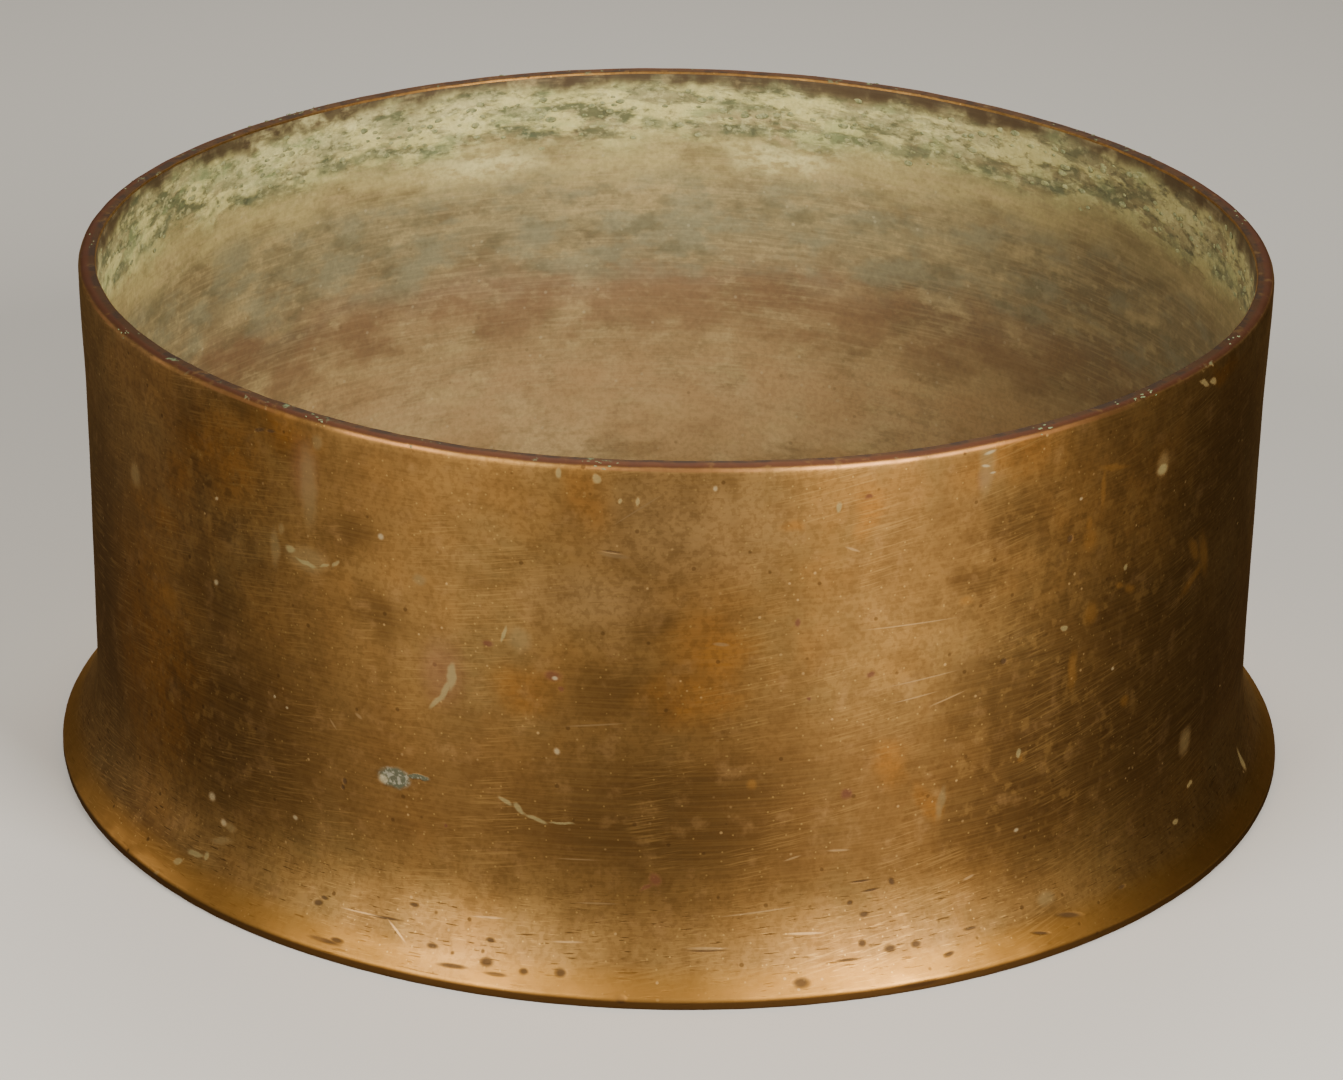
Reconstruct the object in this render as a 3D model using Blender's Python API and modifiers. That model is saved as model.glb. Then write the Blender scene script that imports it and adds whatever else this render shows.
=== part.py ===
"""A straight-walled brass vessel on a flared foot.

Three pieces share the vertical axis: a wall that is open at both ends, a floor plate wedged up
into the taper of the foot, and a ring of brazing metal that seals the corner between them.
Metres, +Z up. The origin is on the table, at the middle of the foot.
"""

import math

import bmesh
import bpy

# Driving dimensions.
RIM_RADIUS = 0.190  # outside of the straight wall
HEIGHT = 0.1687
WALL_THICKNESS = 0.00475
SWELL = 0.0009  # how far the wall stands out just under the rim
SWELL_HEIGHT = 0.045  # height of wall, below the rim, over which it swells
RIM_OUTER_ROUND = 0.0022
RIM_INNER_ROUND = 0.0010

FLARE_HEIGHT = 0.032  # where the wall starts to turn outwards
FLARE_RADIUS = 0.0396  # radius of that hollow turn, on the outside
FLARE_TURN = 45.0  # degrees away from upright at the foot's edge
FOOT_EDGE_ROUND = 0.0024
FOOT_SOLE_ROUND = 0.0006
SOLE_CHAMFER = 0.0006

FLOOR_UNDERSIDE = 0.007
FLOOR_THICKNESS = 0.004
FLOOR_CHAMFER = 0.0005
BRAZE_LEG = 0.0055
BRAZE_HOLLOW = 0.0012  # how far the braze's face sags below a straight chamfer

CONTACT_GAP = 0.0003  # left between pieces that touch
ROUND_STEPS = 96  # facets round the axis
MERGE_DISTANCE = 0.00001
SHARP_EDGE = math.radians(32)

# Worked out from them.
INNER_RADIUS = RIM_RADIUS - WALL_THICKNESS
FLARE_CENTRE_RADIUS = RIM_RADIUS + FLARE_RADIUS
INNER_FLARE_RADIUS = FLARE_RADIUS + WALL_THICKNESS
FLOOR_TOP = FLOOR_UNDERSIDE + FLOOR_THICKNESS


def arc(centre_radius, centre_height, radius, start, end, steps):
    """Points (radius, height) along an arc; angles in degrees, 0 outwards and 90 up."""
    angles = [math.radians(start + (end - start) * i / steps) for i in range(steps + 1)]
    return [
        (centre_radius + radius * math.cos(a), centre_height + radius * math.sin(a))
        for a in angles
    ]


def inner_wall_radius(height):
    """Radius of the wall's inner face, which leans out below the start of the flare."""
    if height >= FLARE_HEIGHT:
        return INNER_RADIUS
    drop = FLARE_HEIGHT - height
    return FLARE_CENTRE_RADIUS - math.sqrt(INNER_FLARE_RADIUS**2 - drop**2)


def swollen_side(steps):
    """The outside just under the rim, top to bottom, where the wall swells a little."""
    top = HEIGHT - RIM_OUTER_ROUND
    bottom = HEIGHT - SWELL_HEIGHT
    points = []
    for i in range(1, steps + 1):
        share = i / steps
        eased = share * share * (3 - 2 * share)
        points.append((RIM_RADIUS + SWELL * (1 - eased), top + (bottom - top) * share))
    return points


def wall_profile():
    """The wall's section: down the outside, across the sole, and up the inside."""
    rim_outer = arc(
        RIM_RADIUS + SWELL - RIM_OUTER_ROUND, HEIGHT - RIM_OUTER_ROUND, RIM_OUTER_ROUND, 90, 0, 4
    )
    flare = arc(FLARE_CENTRE_RADIUS, FLARE_HEIGHT, FLARE_RADIUS, 180, 180 + FLARE_TURN, 9)
    edge_radius, edge_height = flare[-1]
    turn = math.radians(FLARE_TURN)
    edge = arc(
        edge_radius - FOOT_EDGE_ROUND * math.cos(turn),
        edge_height - FOOT_EDGE_ROUND * math.sin(turn),
        FOOT_EDGE_ROUND,
        FLARE_TURN,
        0,
        3,
    )
    foot_radius = edge[-1][0]
    sole = arc(foot_radius - FOOT_SOLE_ROUND, FOOT_SOLE_ROUND, FOOT_SOLE_ROUND, 0, -90, 2)
    hollow_start = math.degrees(math.asin((FLARE_HEIGHT - SOLE_CHAMFER) / INNER_FLARE_RADIUS))
    hollow = arc(
        FLARE_CENTRE_RADIUS, FLARE_HEIGHT, INNER_FLARE_RADIUS, 180 + hollow_start, 180, 9
    )
    sole_inside = [(hollow[0][0] + SOLE_CHAMFER, 0.0)]
    rim_inner = arc(
        INNER_RADIUS + RIM_INNER_ROUND, HEIGHT - RIM_INNER_ROUND, RIM_INNER_ROUND, 180, 90, 3
    )
    return rim_outer + swollen_side(5) + flare + edge[1:] + sole + sole_inside + hollow + rim_inner


def floor_profile():
    """The floor's section from its top, down the tapered edge and back to the axis below."""
    edge_top = FLOOR_TOP - FLOOR_CHAMFER
    edge_bottom = FLOOR_UNDERSIDE + FLOOR_CHAMFER
    top_radius = inner_wall_radius(edge_top) - CONTACT_GAP
    bottom_radius = inner_wall_radius(edge_bottom) - CONTACT_GAP
    return [
        (0.0, FLOOR_TOP),
        (top_radius - FLOOR_CHAMFER, FLOOR_TOP),
        (top_radius, edge_top),
        (bottom_radius, edge_bottom),
        (bottom_radius - FLOOR_CHAMFER, FLOOR_UNDERSIDE),
        (0.0, FLOOR_UNDERSIDE),
    ]


def braze_profile():
    """The braze's section: down its back against the wall, in over the floor, up its hollow face."""
    bottom = FLOOR_TOP + CONTACT_GAP
    top = bottom + BRAZE_LEG
    back = [
        (inner_wall_radius(top + (bottom - top) * i / 3) - CONTACT_GAP, top + (bottom - top) * i / 3)
        for i in range(4)
    ]
    toe_radius = back[-1][0] - BRAZE_LEG
    face = []
    for i in range(5):
        share = i / 4
        sag = BRAZE_HOLLOW * math.sin(math.pi * share) / math.sqrt(2)
        radius = toe_radius + (back[0][0] - toe_radius) * share
        height = bottom + (top - bottom) * share
        face.append((radius + sag, height - sag))
    return back + [(toe_radius, bottom)] + face[1:-1]


def metal(name, colour, roughness):
    material = bpy.data.materials.new(name)
    material.use_nodes = True
    shader = material.node_tree.nodes["Principled BSDF"]
    shader.inputs["Base Color"].default_value = (*colour, 1.0)
    shader.inputs["Metallic"].default_value = 1.0
    shader.inputs["Roughness"].default_value = roughness
    material.diffuse_color = (*colour, 1.0)
    return material


def turned(name, profile, closed, material, collection):
    """One solid of revolution about the Z axis, from its section."""
    shape = bmesh.new()
    points = [shape.verts.new((radius, 0.0, height)) for radius, height in profile]
    for first, second in zip(points, points[1:]):
        shape.edges.new((first, second))
    if closed:
        shape.edges.new((points[-1], points[0]))
    mesh = bpy.data.meshes.new(name)
    shape.to_mesh(mesh)
    shape.free()
    mesh.materials.append(material)
    piece = bpy.data.objects.new(name, mesh)
    collection.objects.link(piece)
    screw = piece.modifiers.new("turn", "SCREW")
    screw.axis = "Z"
    screw.angle = math.tau
    screw.steps = ROUND_STEPS
    screw.render_steps = ROUND_STEPS
    screw.use_merge_vertices = True
    screw.merge_threshold = MERGE_DISTANCE
    screw.use_smooth_shade = True
    return piece


def shade_round(piece):
    """Makes the turned mesh real, so that its rounds are smooth and its corners sharp."""
    graph = bpy.context.evaluated_depsgraph_get()
    mesh = bpy.data.meshes.new_from_object(piece.evaluated_get(graph))
    piece.modifiers.clear()
    piece.data = mesh
    mesh.shade_smooth()
    mesh.set_sharp_from_angle(angle=SHARP_EDGE)


def main():
    for leftover in list(bpy.data.objects):
        bpy.data.objects.remove(leftover)
    vessel = bpy.data.collections.new("brass_vessel")
    bpy.context.scene.collection.children.link(vessel)

    wall_brass = metal("aged_brass_wall", (0.48, 0.28, 0.10), 0.38)
    floor_brass = metal("aged_brass_floor", (0.40, 0.26, 0.12), 0.55)
    braze_metal = metal("brazing_brass", (0.58, 0.42, 0.16), 0.50)

    pieces = [
        turned("side_wall", wall_profile(), True, wall_brass, vessel),
        turned("floor_plate", floor_profile(), False, floor_brass, vessel),
        turned("floor_braze", braze_profile(), True, braze_metal, vessel),
    ]
    bpy.context.view_layer.update()
    for piece in pieces:
        shade_round(piece)


main()
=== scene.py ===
"""The looks of an old brass vessel: a straight hand-finished wall on a flared foot, a floor let
into the taper of the foot and the brazing that seals it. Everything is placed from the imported
solids. Metres, +Z up, the front of the vessel towards -Y.
"""

import math
import random

import bmesh
import bpy
from mathutils import Matrix, Vector, noise


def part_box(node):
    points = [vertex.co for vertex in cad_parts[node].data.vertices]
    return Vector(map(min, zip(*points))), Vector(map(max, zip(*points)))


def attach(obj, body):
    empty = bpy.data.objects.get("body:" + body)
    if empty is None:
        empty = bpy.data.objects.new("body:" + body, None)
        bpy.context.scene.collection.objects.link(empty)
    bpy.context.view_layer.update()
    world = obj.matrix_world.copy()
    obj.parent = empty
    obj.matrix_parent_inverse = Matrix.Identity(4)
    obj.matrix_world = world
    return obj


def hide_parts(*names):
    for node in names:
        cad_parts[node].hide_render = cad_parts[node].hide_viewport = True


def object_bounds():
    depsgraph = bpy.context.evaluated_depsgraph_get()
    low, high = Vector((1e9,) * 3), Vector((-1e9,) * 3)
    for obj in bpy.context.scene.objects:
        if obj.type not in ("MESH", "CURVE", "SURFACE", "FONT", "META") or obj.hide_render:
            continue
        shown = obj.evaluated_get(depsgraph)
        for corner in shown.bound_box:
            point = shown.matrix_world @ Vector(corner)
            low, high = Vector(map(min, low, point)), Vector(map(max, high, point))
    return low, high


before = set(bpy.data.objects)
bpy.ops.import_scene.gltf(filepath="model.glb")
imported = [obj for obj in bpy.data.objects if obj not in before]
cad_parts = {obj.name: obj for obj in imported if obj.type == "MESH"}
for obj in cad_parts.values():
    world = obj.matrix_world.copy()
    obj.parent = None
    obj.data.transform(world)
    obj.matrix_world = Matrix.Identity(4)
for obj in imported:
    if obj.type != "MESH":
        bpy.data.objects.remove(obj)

CAD_LOW, CAD_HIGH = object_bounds()
MM = 0.001


# ---------------------------------------------------------------- sizes read from the solids

def farthest_out(node, low, high):
    """Largest radius of a node's points between two heights."""
    points = (v.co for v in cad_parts[node].data.vertices)
    return max(math.hypot(p.x, p.y) for p in points if low <= p.z <= high)


def nearest_in(node, low, high):
    """Smallest radius of a node's points between two heights."""
    points = (v.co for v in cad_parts[node].data.vertices)
    return min(math.hypot(p.x, p.y) for p in points if low <= p.z <= high)


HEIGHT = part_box("side_wall")[1].z
SWOLLEN_RADIUS = farthest_out("side_wall", 0.95 * HEIGHT, HEIGHT)
INNER_RADIUS = nearest_in("side_wall", 0.5 * HEIGHT, HEIGHT)
FLOOR_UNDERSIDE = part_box("floor_plate")[0].z
FLOOR_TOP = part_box("floor_plate")[1].z
BRAZE_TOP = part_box("floor_braze")[1].z
BRAZE_TOE = nearest_in("floor_braze", 0.0, HEIGHT)

SWELL = 0.9 * MM
SWELL_HEIGHT = 45 * MM
WALL_RADIUS = SWOLLEN_RADIUS - SWELL
WALL_THICKNESS = WALL_RADIUS - INNER_RADIUS
RIM_OUTER_ROUND = 2.2 * MM
RIM_INNER_ROUND = 1.0 * MM
FLARE_HEIGHT = 32 * MM
FLARE_RADIUS = 39.6 * MM
FLARE_TURN = 45.0
FOOT_EDGE_ROUND = 2.4 * MM
FOOT_SOLE_ROUND = 0.6 * MM
INNER_FLARE_RADIUS = FLARE_RADIUS + WALL_THICKNESS
FLARE_CENTRE = WALL_RADIUS + FLARE_RADIUS

WALL_STEPS = 400
FLOOR_STEPS = 220
ROW = 1.6 * MM  # distance between rows of faces on the outside


# ---------------------------------------------------------------- small helpers

def eased(value, low, high):
    """0 below low, 1 above high, with a soft passage between them."""
    share = min(max((value - low) / (high - low), 0.0), 1.0)
    return share * share * (3 - 2 * share)


def arc(centre_radius, centre_height, radius, start, end, steps):
    """Outline points (radius, height) along an arc; degrees, 0 outwards and 90 up."""
    angles = [math.radians(start + (end - start) * i / steps) for i in range(steps + 1)]
    return [
        (centre_radius + radius * math.cos(a), centre_height + radius * math.sin(a))
        for a in angles
    ]


def run(start, end, spacing):
    """Outline points strictly between two points, about that far apart."""
    steps = max(1, round(math.dist(start, end) / spacing))
    return [
        tuple(a + (b - a) * i / steps for a, b in zip(start, end))
        for i in range(1, steps)
    ]


def inner_wall_radius(height):
    """Radius of the wall's inner face: straight above the flare, widening down it."""
    if height >= FLARE_HEIGHT:
        return INNER_RADIUS
    return FLARE_CENTRE - math.sqrt(INNER_FLARE_RADIUS**2 - (FLARE_HEIGHT - height) ** 2)


def spun(outline, closed, steps):
    """A bmesh turned from an outline about the Z axis, with its poles and seam closed."""
    shape = bmesh.new()
    points = [shape.verts.new((radius, 0.0, height)) for radius, height in outline]
    edges = [shape.edges.new(pair) for pair in zip(points, points[1:])]
    if closed:
        edges.append(shape.edges.new((points[-1], points[0])))
    bmesh.ops.spin(
        shape,
        geom=points + edges,
        cent=(0, 0, 0),
        axis=(0, 0, 1),
        angle=math.tau,
        steps=steps,
        use_merge=True,
    )
    bmesh.ops.remove_doubles(shape, verts=shape.verts, dist=0.01 * MM)
    bmesh.ops.recalc_face_normals(shape, faces=shape.faces)
    return shape


def front_angle(point):
    """Degrees round the axis: 0 at the front, 90 at the right, 180 at the back."""
    return math.degrees(math.atan2(point.x, -point.y)) % 360


def turned_from(angle, centre):
    """Signed degrees from one direction round to another."""
    return (angle - centre + 180) % 360 - 180


def outward(point):
    return Vector((point.x, point.y, 0)).normalized()


def finished(name, shape, materials):
    """Makes the bmesh an object that rides with the vessel."""
    mesh = bpy.data.meshes.new(name)
    shape.to_mesh(mesh)
    shape.free()
    mesh.shade_smooth()
    for material in materials:
        mesh.materials.append(material)
    piece = bpy.data.objects.new(name, mesh)
    bpy.context.scene.collection.objects.link(piece)
    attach(piece, "root")
    return piece


# ---------------------------------------------------------------- shapes

def wall_outline():
    rim = arc(
        SWOLLEN_RADIUS - RIM_OUTER_ROUND, HEIGHT - RIM_OUTER_ROUND, RIM_OUTER_ROUND, 90, 0, 6
    )
    side_top = HEIGHT - RIM_OUTER_ROUND
    side = [
        (WALL_RADIUS + SWELL * eased(height, HEIGHT - SWELL_HEIGHT, side_top), height)
        for _, height in run((0, side_top), (0, FLARE_HEIGHT), ROW)
    ]
    flare = arc(FLARE_CENTRE, FLARE_HEIGHT, FLARE_RADIUS, 180, 180 + FLARE_TURN, 20)
    turn = math.radians(FLARE_TURN)
    edge = arc(
        flare[-1][0] - FOOT_EDGE_ROUND * math.cos(turn),
        flare[-1][1] - FOOT_EDGE_ROUND * math.sin(turn),
        FOOT_EDGE_ROUND,
        FLARE_TURN,
        0,
        5,
    )
    sole = arc(edge[-1][0] - FOOT_SOLE_ROUND, FOOT_SOLE_ROUND, FOOT_SOLE_ROUND, 0, -90, 3)
    lowest = math.degrees(math.asin((FLARE_HEIGHT - FOOT_SOLE_ROUND) / INNER_FLARE_RADIUS))
    hollow = arc(FLARE_CENTRE, FLARE_HEIGHT, INNER_FLARE_RADIUS, 180 + lowest, 180, 14)
    heel = [(hollow[0][0] + FOOT_SOLE_ROUND, 0.0)]
    rim_inner = arc(
        INNER_RADIUS + RIM_INNER_ROUND, HEIGHT - RIM_INNER_ROUND, RIM_INNER_ROUND, 180, 90, 3
    )
    inside = run(hollow[-1], rim_inner[0], 2.0 * MM)
    foot = edge[1:] + run(edge[-1], sole[0], 0.8 * MM) + sole + heel
    top = run(rim_inner[-1], rim[0], 0.8 * MM)
    return rim + side + flare + foot + hollow + inside + rim_inner + top


def waviness(point, depth, length):
    """Random rise and fall of a hand-worked face, about so deep and so long."""
    return depth * noise.noise(point / length)


# Where the rim was filed low (+) or left proud (-): degrees round, half width, depth.
RIM_DIPS = (
    (22, 13, 0.45 * MM),
    (2, 10, -0.35 * MM),
    (-20, 12, 0.25 * MM),
    (-50, 18, -0.55 * MM),
    (78, 14, 0.60 * MM),
    (135, 20, 0.45 * MM),
    (180, 30, -0.50 * MM),
    (-130, 22, 0.50 * MM),
)
OUT_OF_ROUND = 0.5 * MM


def rim_level(angle):
    """How far the rim stands above its mean height at this angle."""
    return -sum(
        depth * math.exp(-((turned_from(angle, centre) / width) ** 2))
        for centre, width, depth in RIM_DIPS
    )


def out_of_true(angle, on_skin):
    """How far hand work has left the wall from a true circle; on_skin is a point of the wall."""
    upper = eased(on_skin.z, 0.25 * HEIGHT, HEIGHT)
    shift = OUT_OF_ROUND * math.cos(math.radians(4 * angle)) * upper
    shift += waviness(on_skin, 0.22 * MM, 55 * MM)
    return shift + waviness(on_skin, 0.06 * MM, 14 * MM)


def crust_depth(on_skin):
    """Thickness of the verdigris that has grown under the rim on the inside."""
    belt = eased(on_skin.z, HEIGHT - 30 * MM, HEIGHT - 20 * MM)
    belt *= 1 - eased(on_skin.z, HEIGHT - 6 * MM, HEIGHT - 2 * MM)
    lumps = max(0.0, noise.noise(on_skin / (7 * MM)) + 0.25)
    return 0.50 * MM * belt * lumps


def wall_shape():
    """The wall, its faces marked 0 for the outside, rim and foot and 1 for the inside."""
    shape = spun(wall_outline(), True, WALL_STEPS)
    mean_radius = INNER_RADIUS + 0.5 * WALL_THICKNESS
    for face in shape.faces:
        centre = face.calc_center_median()
        within = math.hypot(centre.x, centre.y) < inner_wall_radius(centre.z) + 0.5 * MM
        face.material_index = int(within and FLOOR_UNDERSIDE < centre.z < HEIGHT - RIM_INNER_ROUND)
    for vert in shape.verts:
        point = vert.co.copy()
        angle = front_angle(point)
        out = outward(point)
        on_skin = out * mean_radius + Vector((0, 0, point.z))
        shift = out_of_true(angle, on_skin)
        near_rim = eased(point.z, HEIGHT - 4 * MM, HEIGHT)
        lift = rim_level(angle) * eased(point.z, 0.7 * HEIGHT, HEIGHT)
        near_sole = 1 - eased(point.z, 0, 6 * MM)
        lift += waviness(on_skin, 0.12 * MM, 9 * MM) * near_rim
        shift += waviness(on_skin, 0.10 * MM, 5 * MM) * near_rim
        shift += waviness(on_skin, 0.12 * MM, 6 * MM) * near_sole
        if math.hypot(point.x, point.y) < mean_radius and point.z > FLARE_HEIGHT:
            shift -= crust_depth(on_skin)
            shift -= max(0.0, waviness(on_skin, 0.10 * MM, 11 * MM))
        vert.co = point + out * shift + Vector((0, 0, lift))
    return shape


def floor_shape():
    edge_top = FLOOR_TOP - 0.5 * MM
    edge_bottom = FLOOR_UNDERSIDE + 0.5 * MM
    top_radius = inner_wall_radius(edge_top) - 0.3 * MM
    bottom_radius = inner_wall_radius(edge_bottom) - 0.3 * MM
    top = [(0.0, FLOOR_TOP), (top_radius - 0.5 * MM, FLOOR_TOP)]
    bottom = [(bottom_radius - 0.5 * MM, FLOOR_UNDERSIDE), (0.0, FLOOR_UNDERSIDE)]
    outline = [top[0]] + run(top[0], top[1], 4 * MM) + [top[1]]
    outline += [(top_radius, edge_top), (bottom_radius, edge_bottom), bottom[0]]
    outline += run(bottom[0], bottom[1], 4 * MM) + [bottom[1]]
    shape = spun(outline, False, FLOOR_STEPS)
    for vert in shape.verts:
        point = vert.co.copy()
        radius = math.hypot(point.x, point.y)
        flat = Vector((point.x, point.y, 0))
        dimple = noise.voronoi(flat / (17 * MM))[0][0]
        inner = 1 - eased(radius, 0.90 * INNER_RADIUS, 0.99 * INNER_RADIUS)
        lift = -0.28 * MM * (1 - min(dimple, 1.0) ** 2) * inner
        lift += waviness(flat, 0.5 * MM, 80 * MM) * inner
        if point.z < 0.5 * (FLOOR_TOP + FLOOR_UNDERSIDE):
            lift = -lift * 0.6
        vert.co.z = point.z + lift
    return shape


def braze_shape():
    bottom = FLOOR_TOP + 0.1 * MM
    back = [
        (inner_wall_radius(height) - 0.1 * MM, height)
        for height in (BRAZE_TOP, 0.5 * (BRAZE_TOP + bottom), bottom)
    ]
    face = []
    for i in range(7):
        share = i / 6
        sag = 1.2 * MM * math.sin(math.pi * share) / math.sqrt(2)
        face.append((
            BRAZE_TOE + (back[0][0] - BRAZE_TOE) * share + sag,
            bottom + (BRAZE_TOP - bottom) * share - sag,
        ))
    shape = spun(back + face[:-1], True, WALL_STEPS)
    for vert in shape.verts:
        point = vert.co.copy()
        beads = waviness(point, 0.5 * MM, 7 * MM) + waviness(point, 0.25 * MM, 2.5 * MM)
        free = eased(inner_wall_radius(point.z) - math.hypot(point.x, point.y), 0.2 * MM, 2 * MM)
        vert.co = point - outward(point) * beads * free
    return shape


# Where verdigris has crumbled out of the rim: degrees round, degrees either way, crumbs.
RIM_GROWTHS = (
    (-7, 3.0, 16),
    (-22, 1.6, 7),
    (-33, 2.0, 6),
    (-62, 2.4, 8),
    (-88, 3.0, 9),
    (35, 1.6, 6),
    (47, 3.2, 10),
    (66, 2.0, 5),
    (100, 6.0, 12),
    (128, 9.0, 16),
    (160, 12.0, 22),
    (192, 10.0, 16),
    (226, 10.0, 20),
    (252, 5.0, 8),
)
BELT_CRUMBS = 540
BELT_BATCHES = 36


def crumb_batch(shape, crumbs):
    """Adds these crumbs; they are made apart first, because a small bmesh is quick to add to."""
    apart = bmesh.new()
    for degrees, radius, height, size, sway in crumbs:
        angle = math.radians(degrees)
        place = Matrix.Translation((radius * math.sin(angle), -radius * math.cos(angle), height))
        turn = Matrix.Rotation(angle + sway, 4, "Z")
        bmesh.ops.create_icosphere(
            apart, subdivisions=2, radius=1.0, matrix=place @ turn @ Matrix.Diagonal((*size, 1.0))
        )
    batch = bpy.data.meshes.new("crumbs")
    apart.to_mesh(batch)
    apart.free()
    shape.from_mesh(batch)
    bpy.data.meshes.remove(batch)


def crumb_shape():
    """Crumbs of crust, each half sunk in the metal: on the rim, and in the belt inside it."""
    shape = bmesh.new()
    draw = random.Random(7)
    mean_radius = INNER_RADIUS + 0.5 * WALL_THICKNESS
    for centre, reach, count in RIM_GROWTHS:
        crumbs = []
        for _ in range(count):
            degrees = draw.gauss(centre, 0.5 * reach)
            angle = math.radians(degrees)
            skin = Vector((mean_radius * math.sin(angle), -mean_radius * math.cos(angle), HEIGHT))
            radius = SWOLLEN_RADIUS + out_of_true(degrees, skin) - draw.uniform(0.3, 4.2) * MM
            height = HEIGHT + rim_level(degrees) - 0.15 * MM
            if radius > SWOLLEN_RADIUS - 1.2 * MM:
                height -= draw.uniform(0.3, 1.6) * MM
            wide = draw.uniform(0.3, 1.0) * MM
            size = (wide, 0.5 * wide, 0.20 * MM)
            crumbs.append((degrees, radius, height, size, draw.uniform(-0.2, 0.2)))
        crumb_batch(shape, crumbs)
    for batch in range(BELT_BATCHES):
        crumbs = []
        for _ in range(BELT_CRUMBS // BELT_BATCHES):
            degrees = draw.uniform(batch, batch + 1) * 360 / BELT_BATCHES
            level = HEIGHT - draw.triangular(4, 28, 13) * MM
            angle = math.radians(degrees)
            skin = Vector((mean_radius * math.sin(angle), -mean_radius * math.cos(angle), level))
            radius = INNER_RADIUS + out_of_true(degrees, skin) - crust_depth(skin)
            wide = draw.uniform(0.6, 2.2) * MM
            size = (wide, draw.uniform(0.12, 0.26) * MM, 0.5 * wide)
            crumbs.append((degrees, radius, level, size, draw.uniform(-0.2, 0.2)))
        crumb_batch(shape, crumbs)
    noise.seed_set(7)  # without a seed, noise_vector starts from the clock
    for vert in shape.verts:
        vert.co += 0.16 * MM * noise.noise_vector(vert.co / (0.9 * MM))
    bmesh.ops.recalc_face_normals(shape, faces=shape.faces)
    return shape


# ---------------------------------------------------------------- materials

def linear(hex_colour):
    """An sRGB hex colour as linear RGBA."""
    channels = [int(hex_colour[i : i + 2], 16) / 255 for i in (0, 2, 4)]
    return [c / 12.92 if c <= 0.04045 else ((c + 0.055) / 1.055) ** 2.4 for c in channels] + [1.0]


def add(tree, kind, links=None, **settings):
    """Adds one node. links maps its inputs to a value or to another node's output."""
    made = tree.nodes.new(kind)
    for name, value in settings.items():
        setattr(made, name, value)
    for name, value in (links or {}).items():
        if isinstance(value, bpy.types.NodeSocket):
            tree.links.new(value, made.inputs[name])
        else:
            made.inputs[name].default_value = value
    return made


def eased_in(tree, value, none, full):
    """A mask: 0 where the value is at none, 1 where it is at full."""
    ramp = add(
        tree,
        "ShaderNodeMapRange",
        {"Value": value, "From Min": none, "From Max": full},
        interpolation_type="SMOOTHSTEP",
    )
    return ramp.outputs["Result"]


def patches(tree, place, size, none, full, detail=3.0, flat=1.0, shift=0.0):
    """Cloudy patches about size metres across; flat above 1 squashes them upright, below 1 draws
    them out. shift picks other patches of the same kind."""
    moved = add(
        tree,
        "ShaderNodeMapping",
        {"Vector": place, "Location": (shift, shift, shift), "Scale": (1, 1, flat)},
    )
    cloud = add(
        tree,
        "ShaderNodeTexNoise",
        {"Vector": moved.outputs[0], "Scale": 1 / size, "Detail": detail, "Roughness": 0.6},
    )
    return eased_in(tree, cloud.outputs["Fac"], none, full)


def strokes(tree, unrolled, length, width, tilt, none, full, shift=0.0):
    """Thin streaks along the unrolled wall: length and width in metres, tilt in degrees."""
    turned = add(
        tree,
        "ShaderNodeMapping",
        {
            "Vector": unrolled,
            "Location": (shift, shift, 0),
            "Rotation": (0, 0, math.radians(tilt)),
            "Scale": (length, width, 1),
        },
        vector_type="TEXTURE",
    )
    grain = add(
        tree,
        "ShaderNodeTexNoise",
        {"Vector": turned.outputs[0], "Scale": 1.0, "Detail": 2.0, "Roughness": 0.55},
        noise_dimensions="2D",
    )
    return eased_in(tree, grain.outputs["Fac"], none, full)


def specks(tree, place, spacing, radius, shift=0.0):
    """Small round dots, at random about that far apart."""
    moved = add(tree, "ShaderNodeMapping", {"Vector": place, "Location": (shift, shift, shift)})
    cells = add(tree, "ShaderNodeTexVoronoi", {"Vector": moved.outputs[0], "Scale": 1 / spacing})
    return eased_in(tree, cells.outputs["Distance"], radius / spacing, 0.5 * radius / spacing)


def ragged(tree, place, size, reach):
    """The place pushed about at random, so that what is drawn on it gets an uneven outline."""
    push = add(
        tree, "ShaderNodeTexNoise", {"Vector": place, "Scale": 1 / size, "Detail": 3.0}
    )
    centred = add(
        tree,
        "ShaderNodeVectorMath",
        {0: push.outputs["Color"], 1: (0.5, 0.5, 0.5)},
        operation="SUBTRACT",
    )
    moved = add(
        tree,
        "ShaderNodeVectorMath",
        {0: centred.outputs[0], 1: (2 * reach,) * 3, 2: place},
        operation="MULTIPLY_ADD",
    )
    return moved.outputs[0]


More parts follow.
